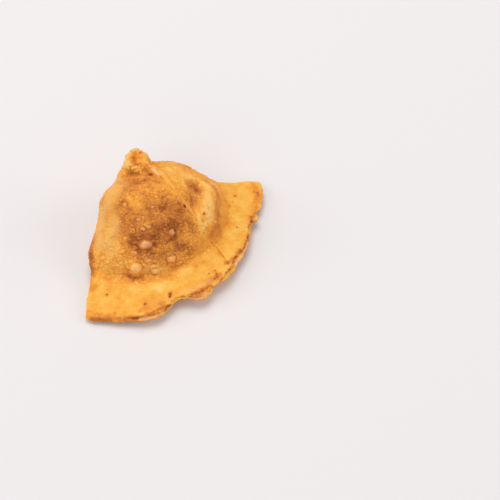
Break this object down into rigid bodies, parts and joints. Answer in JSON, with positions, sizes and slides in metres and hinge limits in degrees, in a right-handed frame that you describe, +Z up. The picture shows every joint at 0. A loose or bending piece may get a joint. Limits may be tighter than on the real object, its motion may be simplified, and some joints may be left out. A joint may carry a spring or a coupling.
{
  "type": "samosa",
  "caption": "Fried stuffed pastry: a plump cone of dough with a pinched tip, a lapped seam down its top and a flat, flared, pressed mouth edge.",
  "frame": {"origin": "centre of the samosa's footprint box, on the surface it rests on", "axes": "+Z up, +X to the right and +Y away from the viewer as the samosa lies in the picture, so its pinched tip is at the back left and its flat mouth runs round the front and right"},
  "size_m": [0.1024, 0.0992, 0.048],
  "materials": {
    "fried_crust": null
  },
  "bodies": {
    "root": {"samosa": "fried_crust"}
  },
  "joints": []
}
